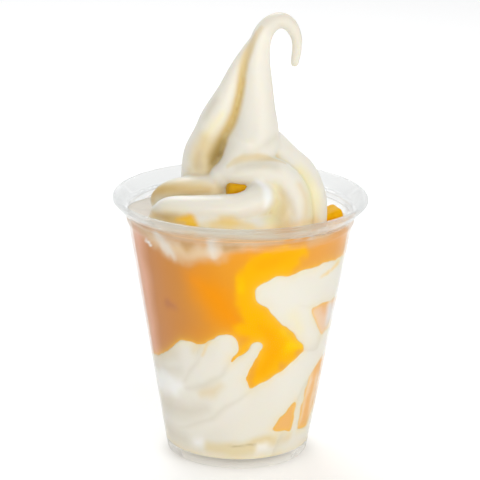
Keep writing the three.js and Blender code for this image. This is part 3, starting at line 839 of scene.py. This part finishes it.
sauceRound = {  # degrees round the wall: colour
    -170: "D98F3C", -90: "EDB392", -68: "EFB697", -56: "D39360", -36: "D8924A", -16: "E99A30", 5: "F4A42C",
    32: "F0A43A", 62: "EDA95A", 80: "F3BE86", 120: "E9A04A", 170: "D98F3C"}
sauceZones = {  # strokes on the wall and their softness
    "deep": ([[(-24, 77, 2), (-17, 73, 4.5), (-9, 67, 5), (-3, 61, 3)]], 7),
    "creamed": ([
        [(-66, 91.5, 1.2), (-52, 89.4, 2.4), (-42, 88.2, 3.6), (-33, 87, 3.8), (-24, 87.6, 3.2),
         (-14, 89, 3.4), (-5, 91.5, 2.4), (10, 92.5, 1)],
        [(-60, 92, 1.5), (-30, 93.2, 1.5), (0, 94, 1.5), (20, 93.5, 1)],
        [(40, 92, 1), (50, 92.3, 1)], [(95, 90, 3), (140, 87, 3.5), (185, 85, 2)],
        [(225, 86, 2.5), (262, 88, 3), (285, 90, 2)]], 3.5),
    "streak": ([
        [(34, 87, 2.2), (24, 86, 4.2), (15, 83.5, 5.2), (8, 79.5, 5.2), (5.5, 74.5, 4.5), (5.5, 69, 3.8),
         (9, 63.5, 4.8), (16, 57.5, 6), (23, 50.5, 6.5), (20, 43.5, 5), (13.5, 37, 2.4)],
        [(24, 51, 5), (36, 48.5, 4), (46, 47.8, 1.5)], [(0, 58.5, 2.4), (10, 57.5, 3.4)],
        [(8, 54, 1.5), (3.5, 49.5, 1.2), (-4.5, 42.6, 0.6)], [(30, 47, 4), (36, 44.5, 2.5)],
        [(16, 80, 3), (30, 82.5, 2)]], 1.6),
    "trail": ([
        [(150, 58, 3), (168, 66, 5), (186, 64, 5), (200, 54, 3)],
        [(222, 74, 2), (240, 68, 4), (256, 58, 3)]], 5),
    "low": ([[(28, 14, 9), (60, 22, 14), (95, 20, 12)]], 4),
    "pale": ([[(50, 58, 6), (60, 50, 8), (90, 52, 8)]], 4),
    "bruise": ([[(-45, 64.5, 1.2), (-42, 64, 1)]], 1.8),
    "browned": ([[(-29, 89.6, 0.8), (-27, 89, 1.4), (-24.5, 89.8, 1)], [(-5.5, 90.4, 1.4), (-2, 90, 1)]], 2),
    "milky": ([[(-46.5, 91, 1.8), (-41.5, 87.8, 2.4), (-37.5, 85.2, 1.3)],
               [(-12.3, 93, 1.2), (-13, 89.3, 1.7), (-15.2, 86.9, 0.8)]], 1.8),
    "amber": ([[(28, 87, 0.6), (20, 86.3, 1.6), (11, 83.5, 1.6)],
               [(13, 59, 1), (20, 53, 2.4), (22, 47, 2.8), (15, 41, 1.5)]], 2.5),
    "lemon": ([
        [(33, 49.5, 2.4), (44, 48, 1.2)], [(2, 78, 0.2), (1, 73, 0.5)], [(27, 57, 0.5), (34, 53, 0.6)]], 2),
    "wisp": ([
        [(55, 14, 0.1), (57, 24, 0.6), (60, 36, 1.4)], [(70, 16, 0.5), (72, 30, 1.4)],
        [(50, 28, 1), (49, 23, 0.2)]], 3.4),
    "edge": ([[(68, 63, 2.5), (72, 55, 3.4), (88, 54, 6)]], 2.6),
    "glint": ([[(-59.8, 86.9, 0.2), (-55, 86.1, 0.8), (-50.7, 85.3, 0.1)]], 0.4),
}
sauceLayers = (  # colour of each zone, from the lowest
    ("deep", "FA9A00"), ("low", "F6BC74"), ("pale", "F4D3B6"), ("edge", "EEE7E2"), ("bruise", "C4825A"),
    ("creamed", "EACDA6"), ("browned", "CF9C58"), ("milky", "EFE3D4"), ("wisp", "FAEBD2"),
    ("trail", "FFB210"), ("streak", "FFB900"), ("amber", "FDAF00"), ("lemon", "FFD000"),
    ("glint", "FDFBF7"), ("thin", "FCCB58"), ("film", "F1EADF"), ("syrup", "FFC02A"))
topStrokes = {  # on the open top: x, y, half width
    "film": [
        [(-30, 22, 5), (-37, 8, 7), (-38, -8, 8), (-33, -20, 5), (-22, -30, 7), (-8, -34, 7), (8, -37, 4),
         (24, -32, 2)],
        [(39, -9, 3), (38, 8, 3), (33, 19, 5)]],
    "syrup": [[(33, -8, 3), (36, 0, 5), (32, 9, 3)]],
}


def sauceFill():
    angles = np.linspace(0, 2 * math.pi, sauce["segments"], endpoint=False)
    sines, cosines = np.sin(angles), -np.cos(angles)
    bottom = cup["floorHeight"] - sauce["intoWall"]
    brink = innerRadius(sauce["edgeHeight"])
    top = sauceLevel(brink * sines, brink * cosines)
    rings = []
    for share in np.linspace(0, 1, sauce["rows"]):
        z = bottom + (top + sauce["meniscus"] - bottom) * share
        rings.append((innerRadius(z) + sauce["intoWall"], z))
    edge = rings[-1][0]
    for share in np.linspace(1, 0, sauce["topRings"], endpoint=False)[1:]:
        reach = edge * share
        x, y = reach * sines, reach * cosines
        wave = np.array([noise.noise(Vector((a, b, 0)) / sauce["waveSize"]) for a, b in zip(x, y)])
        rise = sauce["meniscus"] * np.exp((reach - edge) / sauce["meniscusReach"])
        rings.append((reach, sauceLevel(x, y) + rise + sauce["wave"] * wave))
    count = sauce["segments"]
    vertices, faces = [], ringFaces(len(rings), count)
    for reach, z in rings:
        vertices += list(zip(reach * sines * mm, reach * cosines * mm, np.broadcast_to(z, count) * mm))
    vertices += [(0, 0, bottom * mm), (0, 0, sauceLevel(0, 0) * mm)]
    last = (len(rings) - 1) * count
    for j in range(count):
        k = (j + 1) % count
        faces += [(len(vertices) - 2, k, j), (len(vertices) - 1, last + j, last + k)]
    return addObject("fruit_sauce_fill", meshFrom("fruit_sauce_fill", vertices, faces))


saucePiece = sauceFill()
cut = saucePiece.modifiers.new("room for the soft serve", "BOOLEAN")
cut.operation, cut.solver, cut.object = "DIFFERENCE", "MANIFOLD", creamPiece
bakeModifiers(saucePiece)
fill = saucePiece.data
saucePoints = pointsOf(fill)
print("sauce cut,", len(fill.polygons), "faces")

across, deep, upwards = saucePoints.T / mm
around = np.degrees(np.arctan2(across, -deep))
around += sauce["roundWander"] * noiseAt(saucePoints, sauce["roundWanderSize"] * mm, 5)
stops = np.array([toLinear(hexColour) for hexColour in sauceRound.values()])
setColours(fill, "roundColour", np.stack([
    np.interp(around, list(sauceRound), stops[:, k], period=360) for k in range(4)], 1))
wall = unrolled(saucePoints, sauce["markWarp"])
for name, (strokes, soft) in sauceZones.items():
    bothWays = strokes + [[(d - 360, z, w) for d, z, w in stroke] for stroke in strokes]
    setMask(fill, name, strokeMask(wall, bothWays, soft))
surface = BVHTree.FromPolygons([tuple(p) for p in pointsOf(skin)], [tuple(f.vertices) for f in skin.polygons])
toSkin = np.array([surface.find_nearest(Vector(p))[3] for p in saucePoints])
setMask(fill, "thin", sauce["thin"] * np.exp(-toSkin / (sauce["thinReach"] * mm)))
offWall = np.hypot(across, deep) < innerRadius(upwards) - sauce["topInset"]
top = np.maximum(offWall, smoothStep(*sauce["topFrom"], upwards - sauceLevel(across, deep)))
filmWander = sauce["filmWander"] * noiseAt(saucePoints, sauce["filmWanderSize"] * mm, 8)
flat = saucePoints / mm * (1, 1, 0)
for name, strokes in topStrokes.items():
    astray = filmWander if name == "film" else 0
    gaps = [lineGap(flat, [(x, y, 0, half) for x, y, half in stroke]) for stroke in strokes]
    laid = [smoothStep(-sauce["topSoft"], sauce["topSoft"], astray - gap) for gap in gaps]
    setMask(fill, name, top * np.max(laid, 0))
fill.materials.clear()
fill.materials.append(cookedFruitSauce())


# dice of fruit

dice = {
    "fruit_dice_right": {
        "at": (33.6, 1.5, 89), "size": (8.5, 8.5, 8.5), "turn": (8, -12, 24), "seed": 11, "sunkShade": 0},
    # the die in the gap is given painted shade
    "fruit_dice_gap": {
        "at": (-0.6, -12.6, 102.6), "size": (9.5, 9, 9), "turn": (4, 3, 8), "seed": 12, "sunkShade": 0.6},
}
diceCut = {"round": 1.6, "roundSteps": 3, "finer": 3, "uneven": 0.35, "unevenSize": 4}


def cutDice(name, one):
    half = [side / 2 * mm for side in one["size"]]
    corners = [(x * half[0], y * half[1], z * half[2]) for x in (-1, 1) for y in (-1, 1) for z in (-1, 1)]
    sides = [(0, 1, 3, 2), (4, 6, 7, 5), (0, 4, 5, 1), (2, 3, 7, 6), (0, 2, 6, 4), (1, 5, 7, 3)]
    thing = addObject(name + "_flesh", meshFrom(name, corners, sides))
    edges = thing.modifiers.new("cut edges", "BEVEL")
    edges.width, edges.segments = diceCut["round"] * mm, diceCut["roundSteps"]
    finer = thing.modifiers.new("finer", "SUBSURF")
    finer.subdivision_type = "SIMPLE"
    finer.levels = finer.render_levels = diceCut["finer"]
    bakeModifiers(thing)
    points = pointsOf(thing.data)
    bumps = noiseAt(points, diceCut["unevenSize"] * mm, one["seed"]) * diceCut["uneven"] * mm
    points += normalsOf(thing.data) * bumps[:, None]
    turns = [Quaternion(axis, math.radians(angle))
             for axis, angle in zip(((1, 0, 0), (0, 1, 0), (0, 0, 1)), one["turn"])]
    spin = np.array((turns[0] @ turns[1] @ turns[2]).to_matrix())
    setPoints(thing.data, points @ spin.T + np.array(one["at"]) * mm)
    return thing


flesh = fruitInSyrup()
for name, one in dice.items():
    piece = cutDice(name, one)
    setMask(piece.data, "sunkShade", np.full(len(piece.data.vertices), one["sunkShade"]))
    piece.data.materials.append(flesh)
    finishPiece(piece, name)
print("dice cut")

finishPiece(cupPiece, "cup")
finishPiece(creamPiece, "soft_serve")
finishPiece(saucePiece, "fruit_sauce")


# studio: pale floor, soft light, the photo's viewpoint

view = {
    "distance": 0.88947, "elevation": 16.901, "aim": (0.00004, 0, 0.08104), "roll": 0.8456,
    "lens": 178.795, "sensor": 36, "clip": (0.05, 20),
}
room = {"floorHalf": 3.0, "floorDrop": 0.0003, "floorGlow": 0.24, "light": 0.475, "lampAim": (0, 0, 0.09)}
lamps = {  # place, size, watts, colour
    "keyRight": ((0.75, -0.7, 0.7), 0.6, 3.1, "FFFDF8"),
    "lowFront": ((0.15, -1.1, 0.3), 0.7, 3.2, "FFFDF8"),
    "fillLeft": ((-0.8, -0.6, 0.5), 0.8, 1.0, "FFFFFF"),
    "topBack": ((-0.15, 0.6, 0.9), 0.6, 4.0, "FFFFFF"),
}


def studio():
    half, drop = room["floorHalf"], room["floorDrop"]
    corners = [(x * half, y * half, -drop) for x, y in ((-1, -1), (1, -1), (1, 1), (-1, 1))]
    floor = addObject("floor", meshFrom("floor", corners, [(0, 1, 2, 3)]))
    material, tree = newMaterial("paleStudioPaper")
    diffuse = addNode(tree, "ShaderNodeLightPath").outputs["Is Diffuse Ray"]
    paper = addNode(tree, "ShaderNodeBsdfPrincipled", links={
        "Base Color": toLinear("F7F7F7"), "Roughness": 0.8, "Emission Color": toLinear("FFFFFF"),
        "Emission Strength": mapped(tree, diffuse, room["floorGlow"], 0.0)})  # seen, not lighting the food
    showSurface(tree, paper)
    floor.data.materials.append(material)
    for name, (place, width, watts, hexColour) in lamps.items():
        lamp = bpy.data.lights.new(name, "AREA")
        lamp.shape, lamp.size, lamp.energy = "DISK", width, watts
        lamp.color = toLinear(hexColour)[:3]
        thing = bpy.data.objects.new(name, lamp)
        thing.location = place
        thing.rotation_mode = "QUATERNION"
        thing.rotation_quaternion = (Vector(room["lampAim"]) - Vector(place)).to_track_quat("-Z", "Y")
        scene.collection.objects.link(thing)
    world = bpy.data.worlds.new("softRoom")
    world.use_nodes = True
    tree = world.node_tree
    sky = tree.nodes["Background"]
    sky.inputs["Color"].default_value = toLinear("FBFCFD")
    diffuse = addNode(tree, "ShaderNodeLightPath").outputs["Is Diffuse Ray"]
    dimmed = mapped(tree, diffuse, 1.0, room["light"])  # the clear cup sees a white room
    tree.links.new(dimmed, sky.inputs["Strength"])
    scene.world = world
    scene.view_settings.view_transform = "Standard"


def camera():
    lens = bpy.data.cameras.new("photoView")
    lens.lens, lens.sensor_width = view["lens"], view["sensor"]
    lens.clip_start, lens.clip_end = view["clip"]
    thing = bpy.data.objects.new("photoView", lens)
    tilt, aim = math.radians(view["elevation"]), Vector(view["aim"])
    thing.location = aim + view["distance"] * Vector((0, -math.cos(tilt), math.sin(tilt)))
    thing.rotation_mode = "QUATERNION"
    roll = Quaternion((0, 0, 1), math.radians(view["roll"]))
    thing.rotation_quaternion = (aim - thing.location).to_track_quat("-Z", "Y") @ roll
    scene.collection.objects.link(thing)
    scene.camera = thing


studio()
camera()
print("studio set")
